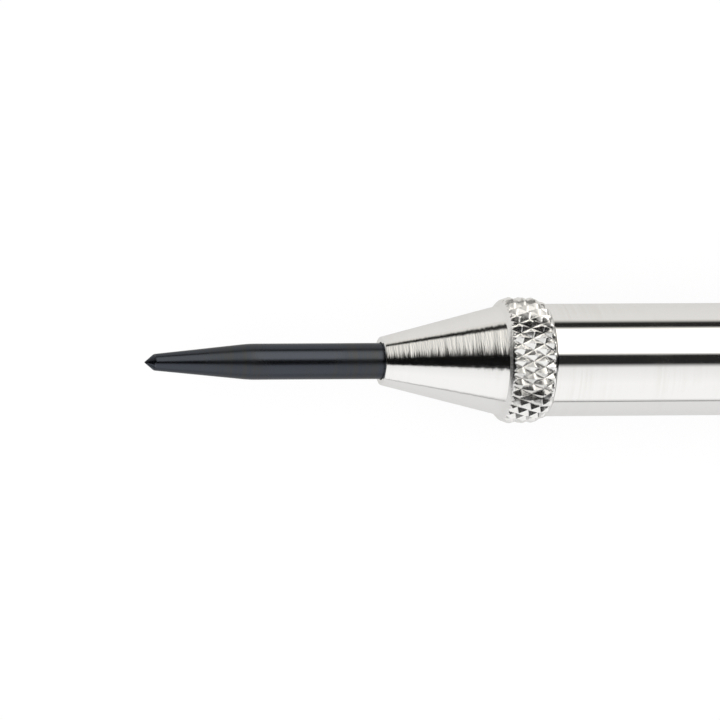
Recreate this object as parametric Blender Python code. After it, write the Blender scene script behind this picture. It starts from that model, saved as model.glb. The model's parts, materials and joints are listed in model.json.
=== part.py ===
"""Automatic center punch lying on its two knurls, with the point toward -X.

Stations run along the tool's axis from the sharp tip, and radii are measured from that axis.
All sizes are in metres and are worked outward from the mechanism to the skin.
"""
import math

import bmesh
import bpy
from mathutils import Vector

# The replaceable point
TIP_ANGLE = math.radians(82.0)
TIP_DIAMETER = 0.00184
TAPER_LENGTH = 0.0108
SHANK_DIAMETER = 0.0040
POINT_REACH = 0.0269
STUD_DIAMETER = 0.0024
STUD_LENGTH = 0.0048

# The spindle that carries the point, and the spring that brings it back
COLLAR_LENGTH = 0.0030
COLLAR_RIM = 0.00085
ROD_DIAMETER = 0.0046
TAIL_DIAMETER = 0.0018
STROKE = 0.0095
RETURN_WIRE = 0.0005
RETURN_PITCH = 0.0019

# The nose
NOSE_LIP = 0.00047
NOSE_CONE_LENGTH = 0.0127
NOSE_WALL = 0.0011
NOSE_CONE_STEP = 0.00038
NOSE_EDGE = 0.0002
FLARE_LENGTH = 0.00175
NOSE_KNURL_LENGTH = 0.0042
NOSE_KNURL_RISE = 0.00075
NOSE_KNURL_ROUNDING = 0.0017
NOSE_KNURL_DROP = 0.0006
NOSE_LAND = 0.0003
SPIGOT_WALL = 0.0009
SPIGOT_LENGTH = 0.0111
RELIEF_LENGTH = 0.0010
RELIEF_DEPTH = 0.0003

# The hammer, its latch and the sleeve that trips it
HAMMER_DIAMETER = 0.0068
HAMMER_NOSE_LENGTH = 0.0032
HAMMER_SOLID_LENGTH = 0.0081
HAMMER_PILOT_LENGTH = 0.0036
SLOT_FLOOR = 0.00045
LATCH_THICKNESS = 0.0026
LATCH_WALL = 0.00065
LATCH_OFFSET = 0.00075
LATCH_SPRING_WIRE = 0.0002
LATCH_SPRING_DIAMETER = 0.0010
LATCH_SPRING_PITCH = 0.00066
SLEEVE_WALL = 0.0006
SLEEVE_FLANGE = 0.0015

# The main spring and what it bears on
WASHER_THICKNESS = 0.0008
MAIN_WIRE = 0.0011
MAIN_LENGTH = 0.0240
MAIN_PITCH = 0.00215
SEAT_FLANGE = 0.0020
SEAT_PILOT_LENGTH = 0.0025
SEAT_DOME = 0.0008

# The barrel, its threaded neck and the cap that screws on it
BARREL_WALL = 0.0011
BARREL_EDGE = 0.0003
NECK_WALL = 0.0014
NECK_LENGTH = 0.0085
CAP_RING_SECTION = 0.0008
CAP_RING_INSET = 0.0015
CAP_RING_SQUEEZE = 0.00005
CAP_WALL = 0.00185
CAP_BOSS_LENGTH = 0.0081
CAP_FLOOR = 0.0090
CAP_LAND = 0.0010
CAP_KNURL_LENGTH = 0.0072
CAP_DOME_LENGTH = 0.0040
CAP_FLAT_DIAMETER = 0.0080
CAP_EDGE = 0.0003

# The diamond knurl on nose and cap
KNURL_PITCH = 0.001375
KNURL_ANGLE = math.radians(30.0)
KNURL_DEPTH = 0.00038

# Clearances
GUIDE_CLEARANCE = 0.0002
RUNNING_CLEARANCE = 0.0002
THREAD_CLEARANCE = 0.00015
FIT_CLEARANCE = 0.0001
SPRING_CLEARANCE = 0.00025
SEAT_GAP = 0.0003
CHAMFER = 0.0002

# Fineness of the round pieces
TURNED_STEPS = 36
RING_STEPS = 8
ARC_STEPS = 5
COIL_POINTS = 9

# Radii, from the spindle out to the barrel
shank_r = SHANK_DIAMETER / 2
stud_r = STUD_DIAMETER / 2
rod_r = ROD_DIAMETER / 2
tail_r = TAIL_DIAMETER / 2
tail_bore_r = tail_r + SPRING_CLEARANCE
guide_r = shank_r + GUIDE_CLEARANCE
return_r = rod_r + SPRING_CLEARANCE + RETURN_WIRE / 2
collar_r = return_r + RETURN_WIRE / 2 + COLLAR_RIM
pocket_r = collar_r + RUNNING_CLEARANCE
hammer_r = HAMMER_DIAMETER / 2
chamber_r = hammer_r + RUNNING_CLEARANCE
trip_front_r = chamber_r + LATCH_OFFSET
sleeve_r = trip_front_r + SLEEVE_WALL
sleeve_bore_r = sleeve_r + FIT_CLEARANCE
spigot_r = max(pocket_r + SPIGOT_WALL, sleeve_bore_r - THREAD_CLEARANCE)
socket_r = spigot_r + THREAD_CLEARANCE
barrel_r = socket_r + BARREL_WALL
nose_face_r = guide_r + NOSE_LIP
cone_base_r = barrel_r - NOSE_CONE_STEP
nose_knurl_r = barrel_r + NOSE_KNURL_RISE
main_r = hammer_r - FIT_CLEARANCE - MAIN_WIRE / 2
pilot_r = main_r - MAIN_WIRE / 2 - SPRING_CLEARANCE
neck_r = chamber_r + NECK_WALL
cap_bore_r = neck_r + THREAD_CLEARANCE
cap_r = cap_bore_r + CAP_WALL
axis_height = max(nose_knurl_r, cap_r)

# Stations, from the tip to the end of the cap
tip_cone_end = TIP_DIAMETER / 2 / math.tan(TIP_ANGLE / 2)
taper_end = tip_cone_end + TAPER_LENGTH
nose_face = POINT_REACH
cone_end = nose_face + NOSE_CONE_LENGTH
cone_slope = (cone_base_r - nose_face_r) / NOSE_CONE_LENGTH
pocket_front = nose_face + (pocket_r + NOSE_WALL - nose_face_r) / cone_slope
nose_knurl_front = cone_end + FLARE_LENGTH
nose_knurl_rear = nose_knurl_front + NOSE_KNURL_LENGTH
nose_back = nose_knurl_rear + NOSE_LAND
spigot_end = nose_back + SPIGOT_LENGTH
barrel_front = nose_back + SEAT_GAP
collar_front = pocket_front + SEAT_GAP
collar_back = collar_front + COLLAR_LENGTH
stud_end = pocket_front + STUD_LENGTH
sleeve_front = spigot_end + SEAT_GAP
flange_back = sleeve_front + SLEEVE_FLANGE
hammer_front = flange_back + SEAT_GAP
rod_end = hammer_front - SEAT_GAP - STROKE
slot_front = hammer_front + HAMMER_NOSE_LENGTH
latch_front = slot_front + RUNNING_CLEARANCE
latch_back = latch_front + LATCH_THICKNESS
slot_back = latch_back + RUNNING_CLEARANCE
tail_end = latch_front - SEAT_GAP
tail_bore_end = tail_end + STROKE + SEAT_GAP
hammer_back = tail_bore_end + HAMMER_SOLID_LENGTH
sleeve_end = hammer_back + STROKE + SEAT_GAP
chamber_front = sleeve_end + SEAT_GAP
washer_front = hammer_back + SEAT_GAP
washer_back = washer_front + WASHER_THICKNESS
main_front = washer_back + SEAT_GAP
main_rear = main_front + MAIN_LENGTH
seat_front = main_rear + SEAT_GAP
seat_back = seat_front + SEAT_FLANGE
boss_front = seat_back + SEAT_DOME + SEAT_GAP
cap_floor = boss_front + CAP_BOSS_LENGTH
neck_end = cap_floor - SEAT_GAP
barrel_back = neck_end - NECK_LENGTH
cap_front = barrel_back + SEAT_GAP
cap_end = cap_floor + CAP_FLOOR
cap_dome_front = cap_end - CAP_DOME_LENGTH
cap_knurl_front = cap_front + CAP_LAND
cap_knurl_rear = cap_knurl_front + CAP_KNURL_LENGTH
tool_length = cap_end

# The latch slides across the hammer, so its sizes are heights above the axis
latch_half_width = tail_bore_r + LATCH_WALL
slot_half_width = latch_half_width + RUNNING_CLEARANCE
slot_bottom = SLOT_FLOOR - hammer_r
latch_bottom = slot_bottom + LATCH_OFFSET + RUNNING_CLEARANCE
latch_spring_r = LATCH_SPRING_DIAMETER / 2
latch_pocket_r = latch_spring_r + LATCH_SPRING_WIRE / 2 + FIT_CLEARANCE
latch_pocket_top = LATCH_OFFSET - tail_bore_r - LATCH_WALL


def clear_scene():
    for old in list(bpy.data.objects):
        bpy.data.objects.remove(old)


def finish(name, colour, roughness, metallic):
    """A plain shading for one piece."""
    material = bpy.data.materials.new(name)
    material.use_nodes = True
    shader = material.node_tree.nodes["Principled BSDF"]
    shader.inputs["Base Color"].default_value = (*colour, 1.0)
    shader.inputs["Roughness"].default_value = roughness
    shader.inputs["Metallic"].default_value = metallic
    return material


def place(name, bm, station, axis, material):
    """An object from a mesh whose own origin is on the tool's axis at the given station."""
    bmesh.ops.remove_doubles(bm, verts=bm.verts, dist=1e-7)
    bmesh.ops.recalc_face_normals(bm, faces=bm.faces)
    mesh = bpy.data.meshes.new(name)
    bm.to_mesh(mesh)
    bm.free()
    mesh.shade_smooth()
    mesh.set_sharp_from_angle(angle=math.radians(30))
    mesh.materials.append(material)
    piece = bpy.data.objects.new(name, mesh)
    bpy.context.collection.objects.link(piece)
    piece.parent = axis
    piece.location.x = station
    return piece


def spin_outline(bm, outline, station, steps, closed):
    """Turn an outline of (station, radius) points about the tool's axis."""
    verts = [bm.verts.new((x - station, 0.0, r)) for x, r in outline]
    edges = [bm.edges.new(pair) for pair in zip(verts, verts[1:])]
    if closed:
        edges.append(bm.edges.new((verts[-1], verts[0])))
    bmesh.ops.spin(
        bm,
        geom=verts + edges,
        cent=(0, 0, 0),
        axis=(1, 0, 0),
        angle=2 * math.pi,
        steps=steps,
        use_merge=True,
    )


def turned(name, outline, station, axis, material, closed=False):
    """A plain turned piece: an open outline starts and ends on the axis, a closed one is a ring."""
    bm = bmesh.new()
    spin_outline(bm, outline, station, TURNED_STEPS, closed)
    return place(name, bm, station, axis, material)


def knurled(name, outlines, band, station, axis, material):
    """A turned piece with a diamond-knurled band.

    outlines are the plain stretches before and after the band, and band gives its front and rear
    stations and the radius of its crests at a station.
    """
    front, rear, crest = band
    columns = 2 * round(2 * math.pi * crest(front) / KNURL_PITCH)
    rows = max(2, round(2 * (rear - front) * math.tan(KNURL_ANGLE) / KNURL_PITCH))
    bm = bmesh.new()
    for outline in outlines:
        spin_outline(bm, outline, station, columns, closed=False)
    bmesh.ops.remove_doubles(bm, verts=bm.verts, dist=1e-7)
    plain_rims = [e for e in bm.edges if e.is_boundary]
    grid = []
    for row in range(rows + 1):
        x = front + (rear - front) * row / rows
        ring = []
        for column in range(columns):
            in_groove = (row + column) % 2 and 0 < row < rows
            r = crest(x) - (KNURL_DEPTH if in_groove else 0.0)
            angle = 2 * math.pi * column / columns
            ring.append(bm.verts.new((x - station, -r * math.sin(angle), r * math.cos(angle))))
        grid.append(ring)
    for row in range(rows):
        for column in range(columns):
            after = (column + 1) % columns
            corners = [
                grid[row][column],
                grid[row][after],
                grid[row + 1][after],
                grid[row + 1][column],
            ]
            # each cell folds along the line between its two groove corners
            if (row + column) % 2 == 0:
                corners = corners[1:] + corners[:1]
            bm.faces.new((corners[0], corners[1], corners[2]))
            bm.faces.new((corners[0], corners[2], corners[3]))
    middle = (front + rear) / 2 - station
    for ring, ahead in ((grid[0], True), (grid[-1], False)):
        rim = [bm.edges.get((a, b)) for a, b in zip(ring, ring[1:] + ring[:1])]
        plain = [e for e in plain_rims if (e.verts[0].co.x < middle) == ahead]
        bmesh.ops.bridge_loops(bm, edges=rim + plain)
    return place(name, bm, station, axis, material)


def box(low, high):
    """A box between two corners, in the tool's own frame."""
    bm = bmesh.new()
    bmesh.ops.create_cube(bm, size=1.0)
    low, high = Vector(low), Vector(high)
    bmesh.ops.scale(bm, vec=high - low, verts=bm.verts)
    bmesh.ops.translate(bm, vec=(low + high) / 2, verts=bm.verts)
    return bm


def drill(centre, radius, depth, along):
    """A round bar for cutting a hole, centred on a point and lying along X or Z."""
    bm = bmesh.new()
    bmesh.ops.create_cone(
        bm, cap_ends=True, segments=TURNED_STEPS, radius1=radius, radius2=radius, depth=depth
    )
    if along == "X":
        bm.transform(Vector((0, 0, 1)).rotation_difference(Vector((1, 0, 0))).to_matrix().to_4x4())
    bmesh.ops.translate(bm, vec=centre, verts=bm.verts)
    return bm


def cut(piece, cutter_mesh, axis):
    """Take a cutter's shape out of a piece."""
    name = f"{piece.name}_cutter_{len(piece.modifiers)}"
    cutter = place(name, cutter_mesh, 0.0, axis, piece.data.materials[0])
    cutter.location = piece.location
    cutter.hide_render = True
    cutter.display_type = "WIRE"
    modifier = piece.modifiers.new(name, "BOOLEAN")
    modifier.operation = "DIFFERENCE"
    modifier.solver = "EXACT"
    modifier.object = cutter


def coil(name, length, pitch, mean_r, wire, along, location, axis, material):
    """An open-wound compression spring of one unbroken wire, starting at its location."""
    rise = length - wire
    turns = max(1, math.floor(rise / pitch))
    count = turns * COIL_POINTS + 1
    points = []
    for n in range(count):
        angle = 2 * math.pi * n / COIL_POINTS
        height = wire / 2 + rise * n / (count - 1)
        around = (mean_r * math.cos(angle), mean_r * math.sin(angle))
        points.append((height, *around) if along == "X" else (*around, height))
    apart = [
        math.dist(points[a], points[b])
        for a in range(count)
        for b in range(a + COIL_POINTS // 2, count)
    ]
    print(f"{name}: {turns} turns, least gap to itself {1000 * (min(apart) - wire):.2f} mm")
    curve = bpy.data.curves.new(name, "CURVE")
    curve.dimensions = "3D"
    curve.bevel_depth = wire / 2
    curve.bevel_resolution = 1
    curve.use_fill_caps = True
    spline = curve.splines.new("POLY")
    spline.points.add(count - 1)
    for point, place_at in zip(spline.points, points):
        point.co = (*place_at, 1.0)
    curve.materials.append(material)
    piece = bpy.data.objects.new(name, curve)
    bpy.context.collection.objects.link(piece)
    piece.parent = axis
    piece.location = location
    return piece


def quarter_rise(start, end, low, high):
    """Points of a rounded rise that starts steep and ends level."""
    return [
        (start + (end - start) * n / ARC_STEPS, low + (high - low) * math.sin(math.pi / 2 * n / ARC_STEPS))
        for n in range(ARC_STEPS + 1)
    ]


def punch_point(axis):
    outline = [
        (0.0, 0.0),
        (tip_cone_end, TIP_DIAMETER / 2),
        (taper_end, shank_r),
        (pocket_front - CHAMFER, shank_r),
        (pocket_front, shank_r - CHAMFER),
        (pocket_front, stud_r),
        (stud_end - CHAMFER, stud_r),
        (stud_end, stud_r - CHAMFER),
        (stud_end, 0.0),
    ]
    black_oxide = finish("black_oxide_steel", (0.03, 0.032, 0.036), 0.38, 0.9)
    turned("punch_point", outline, nose_face, axis, black_oxide)


def spindle(axis):
    outline = [
        (stud_end + SEAT_GAP, 0.0),
        (stud_end + SEAT_GAP, stud_r + THREAD_CLEARANCE),
        (collar_front, stud_r + THREAD_CLEARANCE),
        (collar_front, collar_r - CHAMFER),
        (collar_front + CHAMFER, collar_r),
        (collar_back - CHAMFER, collar_r),
        (collar_back, collar_r - CHAMFER),
        (collar_back, rod_r),
        (rod_end - CHAMFER, rod_r),
        (rod_end, rod_r - CHAMFER),
        (rod_end, tail_r),
        (tail_end - CHAMFER, tail_r),
        (tail_end, tail_r - CHAMFER),
        (tail_end, 0.0),
    ]
    ground_steel = finish("ground_steel", (0.55, 0.55, 0.56), 0.3, 1.0)
    turned("spindle", outline, collar_front, axis, ground_steel)


def return_spring(axis):
    start = collar_back + SEAT_GAP
    length = sleeve_front - SEAT_GAP - start
    music_wire = finish("return_spring_wire", (0.42, 0.42, 0.43), 0.35, 1.0)
    coil("return_spring", length, RETURN_PITCH, return_r, RETURN_WIRE, "X", (start, 0, 0), axis, music_wire)


def nose_crest(x):
    """Crest radius of the nose's knurl, which is level and then rounds down at the rear."""
    past = max(0.0, x - (nose_knurl_rear - NOSE_KNURL_ROUNDING)) / NOSE_KNURL_ROUNDING
    return nose_knurl_r - NOSE_KNURL_DROP * past**2


def nose_cone(axis):
    relief_r = spigot_r - RELIEF_DEPTH
    outline = [
        (nose_back, nose_crest(nose_knurl_rear) - NOSE_LAND),
        (nose_back, relief_r),
        (nose_back + RELIEF_LENGTH, relief_r),
        (nose_back + RELIEF_LENGTH + RELIEF_DEPTH, spigot_r),
        (spigot_end - CHAMFER, spigot_r),
        (spigot_end, spigot_r - CHAMFER),
        (spigot_end, pocket_r),
        (pocket_front, pocket_r),
        (pocket_front, guide_r),
        (nose_face, guide_r),
        (nose_face, nose_face_r - NOSE_EDGE),
        (nose_face + NOSE_EDGE, nose_face_r + NOSE_EDGE * cone_slope),
    ]
    outline += quarter_rise(cone_end, nose_knurl_front, cone_base_r, nose_knurl_r)[:-1]
    band = (nose_knurl_front, nose_knurl_rear, nose_crest)
    bright_nickel = finish("nose_bright_nickel", (0.80, 0.79, 0.76), 0.16, 1.0)
    knurled("nose_cone", [outline], band, nose_face, axis, bright_nickel)


def barrel(axis):
    ring_rear = neck_end - CAP_RING_INSET
    ring_front = ring_rear - CAP_RING_SECTION - 2 * FIT_CLEARANCE
    groove_r = neck_r + CAP_RING_SQUEEZE - CAP_RING_SECTION - FIT_CLEARANCE
    relief_r = neck_r - RELIEF_DEPTH
    outline = [
        (barrel_front, socket_r),
        (barrel_front, barrel_r - BARREL_EDGE),
        (barrel_front + BARREL_EDGE, barrel_r),
        (barrel_back - BARREL_EDGE, barrel_r),
        (barrel_back, barrel_r - BARREL_EDGE),
        (barrel_back, relief_r),
        (barrel_back + RELIEF_LENGTH, relief_r),
        (barrel_back + RELIEF_LENGTH + RELIEF_DEPTH, neck_r),
        (ring_front, neck_r),
        (ring_front, groove_r),
        (ring_rear, groove_r),
        (ring_rear, neck_r),
        (neck_end - CHAMFER, neck_r),
        (neck_end, neck_r - CHAMFER),
        (neck_end, chamber_r),
        (chamber_front, chamber_r),
        (chamber_front, sleeve_bore_r),
        (sleeve_front, sleeve_bore_r),
        (sleeve_front, socket_r),
    ]
    bright_nickel = finish("barrel_bright_nickel", (0.80, 0.79, 0.76), 0.14, 1.0)
    turned("barrel", outline, barrel_front, axis, bright_nickel, closed=True)


def cap_ring(axis):
    centre_r = neck_r + CAP_RING_SQUEEZE - CAP_RING_SECTION / 2
    centre = neck_end - CAP_RING_INSET - FIT_CLEARANCE - CAP_RING_SECTION / 2
    outline = []
    for n in range(RING_STEPS):
        angle = 2 * math.pi * n / RING_STEPS
        reach = CAP_RING_SECTION / 2
        outline.append((centre + reach * math.cos(angle), centre_r + reach * math.sin(angle)))
    black_rubber = finish("black_rubber", (0.02, 0.02, 0.02), 0.7, 0.0)
    turned("cap_ring", outline, centre, axis, black_rubber, closed=True)


def trip_sleeve(axis):
    outline = [
        (sleeve_front, rod_r + SPRING_CLEARANCE),
        (sleeve_front, sleeve_r - CHAMFER),
        (sleeve_front + CHAMFER, sleeve_r),
        (sleeve_end - CHAMFER, sleeve_r),
        (sleeve_end, sleeve_r - CHAMFER),
        (sleeve_end, chamber_r),
        (latch_back + STROKE, chamber_r),
        (latch_back, trip_front_r),
        (flange_back, trip_front_r),
        (flange_back, rod_r + SPRING_CLEARANCE),
    ]
    hard_steel = finish("hardened_sleeve_steel", (0.36, 0.35, 0.34), 0.32, 1.0)
    turned("trip_sleeve", outline, sleeve_front, axis, hard_steel, closed=True)


def hammer(axis):
    outline = [
        (tail_bore_end, 0.0),
        (tail_bore_end, tail_bore_r),
        (hammer_front, tail_bore_r),
        (hammer_front, hammer_r - CHAMFER),
        (hammer_front + CHAMFER, hammer_r),
        (hammer_back - CHAMFER, hammer_r),
        (hammer_back, hammer_r - CHAMFER),
        (hammer_back, pilot_r),
        (hammer_back + HAMMER_PILOT_LENGTH - CHAMFER, pilot_r),
        (hammer_back + HAMMER_PILOT_LENGTH, pilot_r - CHAMFER),
        (hammer_back + HAMMER_PILOT_LENGTH, 0.0),
    ]
    hammer_steel = finish("hammer_steel", (0.30, 0.29, 0.29), 0.34, 1.0)
    piece = turned("hammer", outline, hammer_front, axis, hammer_steel)
    slot = box(
        (slot_front - hammer_front, -slot_half_width, slot_bottom),
        (slot_back - hammer_front, slot_half_width, 2 * hammer_r),
    )
    cut(piece, slot, axis)


def latch_block(axis):
    """A flat block with a crown that matches the hammer's round when it is pushed to the middle."""
    bm = bmesh.new()
    edge = math.asin(latch_half_width / hammer_r)
    outline = [(-latch_half_width, latch_bottom), (latch_half_width, latch_bottom)]
    for n in range(2 * ARC_STEPS + 1):
        angle = edge * (1 - n / ARC_STEPS)
        outline.append((hammer_r * math.sin(angle), LATCH_OFFSET + hammer_r * math.cos(angle)))
    face = bm.faces.new([bm.verts.new((0.0, y, z)) for y, z in outline])
    swept = bmesh.ops.extrude_face_region(bm, geom=[face])["geom"]
    moved = [v for v in swept if isinstance(v, bmesh.types.BMVert)]
    bmesh.ops.translate(bm, vec=(LATCH_THICKNESS, 0, 0), verts=moved)
    tool_steel = finish("latch_steel", (0.45, 0.43, 0.40), 0.3, 1.0)
    piece = place("latch_block", bm, latch_front, axis, tool_steel)
    middle = LATCH_THICKNESS / 2
    cut(piece, drill((middle, 0, LATCH_OFFSET), tail_bore_r, 2 * LATCH_THICKNESS, "X"), axis)
    depth = 2 * (latch_pocket_top - latch_bottom)
    cut(piece, drill((middle, 0, latch_bottom), latch_pocket_r, depth, "Z"), axis)


def latch_spring(axis):
    start = slot_bottom + FIT_CLEARANCE
    length = latch_pocket_top - FIT_CLEARANCE - start
    place_at = (latch_front + LATCH_THICKNESS / 2, 0, start)
    spring_wire = finish("latch_spring_wire", (0.50, 0.48, 0.42), 0.35, 1.0)
    wire, reach = LATCH_SPRING_WIRE, latch_spring_r
    coil("latch_spring", length, LATCH_SPRING_PITCH, reach, wire, "Z", place_at, axis, spring_wire)


def spring_washer(axis):
    outer_r = hammer_r - FIT_CLEARANCE
    outline = [
        (washer_front, pilot_r + SPRING_CLEARANCE),
        (washer_front, outer_r),
        (washer_back, outer_r),
        (washer_back, pilot_r + SPRING_CLEARANCE),
    ]
    washer_steel = finish("washer_steel", (0.40, 0.39, 0.38), 0.33, 1.0)
    turned("spring_washer", outline, washer_front, axis, washer_steel, closed=True)


def main_spring(axis):
    music_wire = finish("main_spring_wire", (0.33, 0.33, 0.34), 0.35, 1.0)
    start = (main_front, 0, 0)
    coil("main_spring", MAIN_LENGTH, MAIN_PITCH, main_r, MAIN_WIRE, "X", start, axis, music_wire)


def spring_seat(axis):
    seat_r = chamber_r - RUNNING_CLEARANCE
    outline = [
        (seat_front - SEAT_PILOT_LENGTH, 0.0),
        (seat_front - SEAT_PILOT_LENGTH, pilot_r - CHAMFER),
        (seat_front - SEAT_PILOT_LENGTH + CHAMFER, pilot_r),
        (seat_front, pilot_r),
        (seat_front, seat_r),
    ]
    for n in range(ARC_STEPS):
        angle = math.pi / 2 * n / ARC_STEPS
        outline.append((seat_back + SEAT_DOME * math.sin(angle), seat_r * math.cos(angle)))
    outline.append((seat_back + SEAT_DOME, 0.0))
    seat_steel = finish("seat_steel", (0.48, 0.47, 0.45), 0.32, 1.0)
    turned("spring_seat", outline, seat_front, axis, seat_steel)


def adjusting_cap(axis):
    boss_r = chamber_r - RUNNING_CLEARANCE
    inside = [
        (boss_front, 0.0),
        (boss_front, boss_r - CHAMFER),
        (boss_front + CHAMFER, boss_r),
        (cap_floor, boss_r),
        (cap_floor, cap_bore_r),
        (cap_front, cap_bore_r),
        (cap_front, cap_r - CAP_EDGE),
        (cap_front + CAP_EDGE, cap_r),
        (cap_knurl_front - CHAMFER, cap_r),
    ]
    flat_r = CAP_FLAT_DIAMETER / 2
    outside = [(cap_knurl_rear + CHAMFER, cap_r)]
    for n in range(ARC_STEPS + 1):
        angle = math.pi / 2 * n / ARC_STEPS
        x = cap_dome_front + CAP_DOME_LENGTH * math.sin(angle)
        outside.append((x, flat_r + (cap_r - flat_r) * math.cos(angle)))
    outside.append((cap_end, 0.0))
    band = (cap_knurl_front, cap_knurl_rear, lambda x: cap_r)
    bright_nickel = finish("cap_bright_nickel", (0.80, 0.79, 0.76), 0.15, 1.0)
    knurled("adjusting_cap", [inside, outside], band, cap_front, axis, bright_nickel)


def build():
    clear_scene()
    axis = bpy.data.objects.new("tool_axis", None)
    bpy.context.collection.objects.link(axis)
    axis.location = (-tool_length / 2, 0.0, axis_height)
    punch_point(axis)
    spindle(axis)
    return_spring(axis)
    nose_cone(axis)
    barrel(axis)
    cap_ring(axis)
    trip_sleeve(axis)
    hammer(axis)
    latch_block(axis)
    latch_spring(axis)
    spring_washer(axis)
    main_spring(axis)
    spring_seat(axis)
    adjusting_cap(axis)
    print(f"tool length {1000 * tool_length:.2f} mm, barrel {2000 * barrel_r:.2f} mm across")


build()
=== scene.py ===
# %% [markdown]
# # An automatic center punch, dressed for the camera
# The tool is a turned one, about 126 mm long: a black point, a bright cone nose with a diamond knurl, a
# smooth barrel and a knurled screw cap. A hammer, a latch and three coil springs work inside it.
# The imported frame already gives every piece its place, its size and its joints. This lesson gives each piece
# its fine shape and its finish, and then lights the tool as a small product shot on a white table.

# %% load the frame
import json
import math

import bmesh
import bpy
from mathutils import Matrix, Vector


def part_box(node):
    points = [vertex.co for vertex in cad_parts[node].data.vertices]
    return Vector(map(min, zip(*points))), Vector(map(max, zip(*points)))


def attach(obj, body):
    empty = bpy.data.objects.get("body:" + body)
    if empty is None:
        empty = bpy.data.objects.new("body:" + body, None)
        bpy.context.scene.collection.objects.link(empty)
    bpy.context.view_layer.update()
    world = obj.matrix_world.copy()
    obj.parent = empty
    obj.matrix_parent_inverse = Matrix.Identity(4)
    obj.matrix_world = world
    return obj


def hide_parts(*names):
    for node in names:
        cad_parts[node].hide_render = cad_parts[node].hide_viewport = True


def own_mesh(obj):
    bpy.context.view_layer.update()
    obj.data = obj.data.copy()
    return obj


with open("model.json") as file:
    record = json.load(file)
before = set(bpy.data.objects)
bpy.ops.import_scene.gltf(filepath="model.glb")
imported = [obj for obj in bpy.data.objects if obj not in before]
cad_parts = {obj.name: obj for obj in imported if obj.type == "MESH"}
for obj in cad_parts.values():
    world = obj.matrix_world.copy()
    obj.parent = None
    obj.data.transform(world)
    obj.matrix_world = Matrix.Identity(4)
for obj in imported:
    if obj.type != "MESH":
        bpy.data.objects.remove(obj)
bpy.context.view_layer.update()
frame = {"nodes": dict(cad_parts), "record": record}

# %% [markdown]
# ## Stations and radii
# A turned piece is drawn as a lathe hand draws it: stations along the axis, counted from the sharp tip, and
# radii from the axis. Both come from the frame's boxes, so the fine pieces land where the plain solids are.
# All sizes in this lesson are in metres.

# %% stations and radii from the frame
TIP_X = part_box("punch_point")[0].x
AXIS_Z = sum(corner.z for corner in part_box("barrel")) / 2
BODY_OF = {node: body for body, nodes in frame["record"]["behaviour"]["bodies"].items() for node in nodes}


def span(node):
    """Front station, rear station and outside radius of a node."""
    low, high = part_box(node)
    return low.x - TIP_X, high.x - TIP_X, (high.z - low.z) / 2


_, STUD_END, SHANK_R = span("punch_point")
NOSE_FACE, SPIGOT_END, NOSE_KNURL_R = span("nose_cone")
_, NECK_END, BARREL_R = span("barrel")
CAP_FRONT, CAP_END, CAP_R = span("adjusting_cap")
print(f"tool: {1000 * CAP_END:.1f} mm long, barrel {2000 * BARREL_R:.2f} mm across")

# %% [markdown]
# ## Small helpers for node trees
# Both geometry trees and shader trees are built here from the same few calls: make a node, feed its sockets
# with a number or a link, do a sum, or ease one range of numbers into another. Nodes could be dragged
# together by hand, but a script shows the whole rule at once and gives the same tree every time.

# %% nodes and sums


def feed(tree, socket, value):
    """Link a socket to another one, or set its own value."""
    if isinstance(value, bpy.types.NodeSocket):
        tree.links.new(value, socket)
    elif value is not None:
        socket.default_value = value


def add_node(tree, kind, *values, **settings):
    node = tree.nodes.new(kind)
    for setting, value in settings.items():
        setattr(node, setting, value)
    for socket, value in zip(node.inputs, values):
        feed(tree, socket, value)
    return node


def calc(tree, operation, *values):
    return add_node(tree, "ShaderNodeMath", *values, operation=operation).outputs[0]


def calc_by(operation):
    """A short name for one kind of sum."""
    return lambda tree, *values: calc(tree, operation, *values)


def ease(tree, value, low, high, to_low=0.0, to_high=1.0, kind="SMOOTHSTEP"):
    """Carry a value from one range to another, held at both ends."""
    made = add_node(tree, "ShaderNodeMapRange", value, low, high, to_low, to_high, interpolation_type=kind)
    return made.outputs[0]


plus, minus, times, over = [calc_by(kind) for kind in ("ADD", "SUBTRACT", "MULTIPLY", "DIVIDE")]
lesser, greater, times_plus = [calc_by(kind) for kind in ("MINIMUM", "MAXIMUM", "MULTIPLY_ADD")]
print("sums ready: plus, minus, times, over, lesser, greater, times_plus and ease")

# %% vectors, noise, colours and groups


def xyz(tree, vector):
    return add_node(tree, "ShaderNodeSeparateXYZ", vector).outputs


def vector_of(tree, x, y, z):
    return add_node(tree, "ShaderNodeCombineXYZ", x, y, z).outputs[0]


def noise(tree, vector, scale, detail=2.0, roughness=0.5):
    made = add_node(tree, "ShaderNodeTexNoise", vector)
    feed(tree, made.inputs["Scale"], scale)
    made.inputs["Detail"].default_value = detail
    made.inputs["Roughness"].default_value = roughness
    return made.outputs["Fac"]


def tint(tree, factor, first, second):
    """Mix two colours by a mask."""
    mix = tree.nodes.new("ShaderNodeMix")
    mix.data_type = "RGBA"
    feed(tree, mix.inputs[0], factor)
    for socket, colour in ((mix.inputs[6], first), (mix.inputs[7], second)):
        feed(tree, socket, colour if isinstance(colour, bpy.types.NodeSocket) else (*colour, 1.0))
    return mix.outputs[2]


def blend(tree, factor, first, second):
    """Mix two values by a mask."""
    return add_node(tree, "ShaderNodeMix", factor, None, first, second).outputs[0]


def open_group(name, kind, inputs, outputs):
    """A new node group with named sockets, and the sockets to build between."""
    group = bpy.data.node_groups.new(name, kind)
    for label, socket in inputs:
        group.interface.new_socket(name=label, in_out="INPUT", socket_type="NodeSocket" + socket)
    for label, socket in outputs:
        group.interface.new_socket(name=label, in_out="OUTPUT", socket_type="NodeSocket" + socket)
    return group, group.nodes.new("NodeGroupInput").outputs, group.nodes.new("NodeGroupOutput").inputs


print("texture and group helpers ready")

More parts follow.
